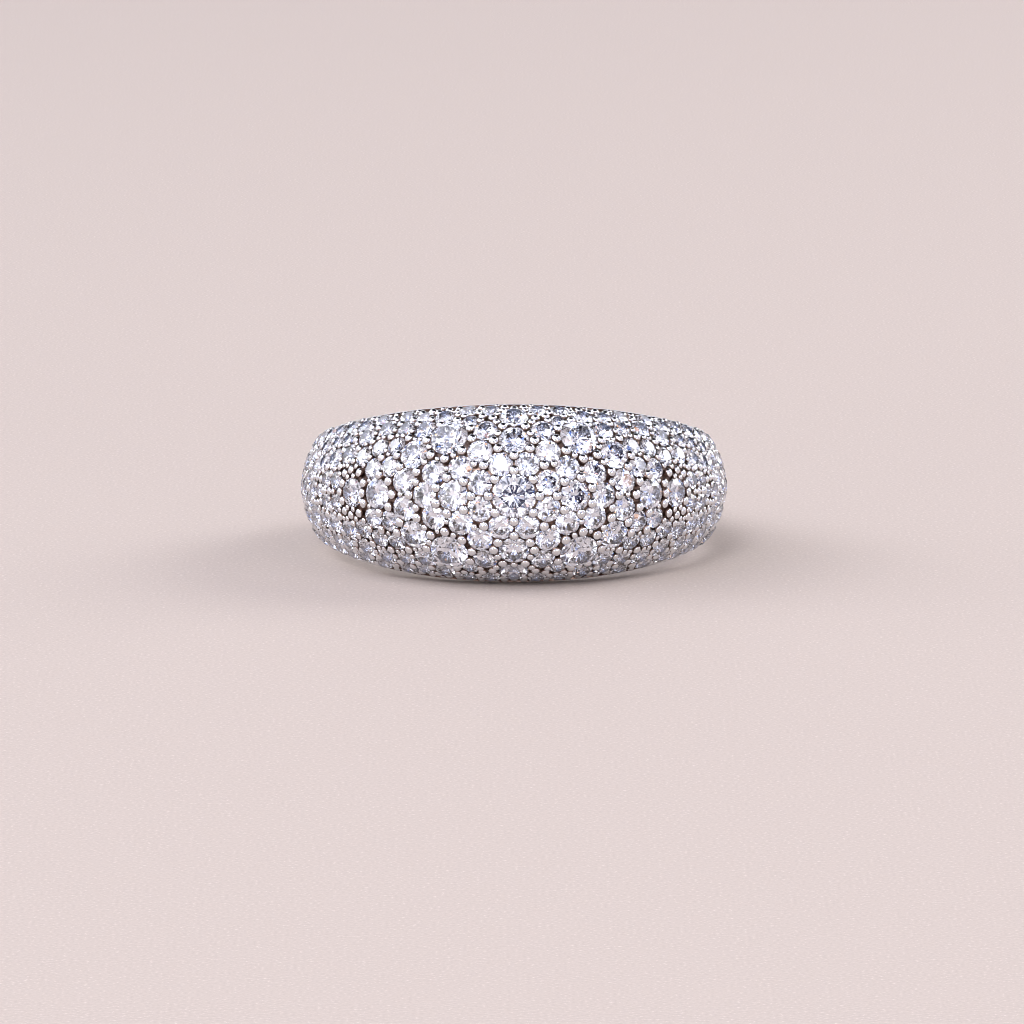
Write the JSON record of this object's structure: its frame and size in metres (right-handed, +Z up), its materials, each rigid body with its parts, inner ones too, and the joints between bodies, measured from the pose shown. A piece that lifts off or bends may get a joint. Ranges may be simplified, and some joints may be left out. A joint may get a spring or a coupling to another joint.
{
  "type": "dome ring",
  "caption": "Wide domed finger ring of polished white metal, its dome covered in pave-set round cut stones of mixed sizes held by round prong beads.",
  "frame": {"origin": "middle of the finger hole, on its axis", "axes": "+Z up as the ring lies on its side, -Y towards the top of the dome, X across the finger hole; the hole's axis leans back from +Z"},
  "size_m": [0.021, 0.0228, 0.0086],
  "materials": {
    "white_metal": "high polish, rhodium-plated white metal",
    "clear_stone": "faceted and polished colourless stone"
  },
  "bodies": {
    "root": {"band": "white_metal", "centre_stone": "clear_stone", "side_stone_a_right": "clear_stone", "side_stone_a_left": "clear_stone", "side_stone_b_right": "clear_stone", "side_stone_b_left": "clear_stone", "side_stone_c_right": "clear_stone", "side_stone_c_left": "clear_stone", "cross_stone_a_upper": "clear_stone", "cross_stone_a_lower": "clear_stone", "cross_stone_b_upper": "clear_stone", "cross_stone_b_lower": "clear_stone", "large_stone_upper_right": "clear_stone", "large_stone_lower_right": "clear_stone", "large_stone_upper_left": "clear_stone", "large_stone_lower_left": "clear_stone", "medium_stone_upper_right": "clear_stone", "medium_stone_lower_right": "clear_stone", "medium_stone_upper_left": "clear_stone", "medium_stone_lower_left": "clear_stone", "pave_left": "clear_stone", "pave_right": "clear_stone"}
  },
  "joints": []
}
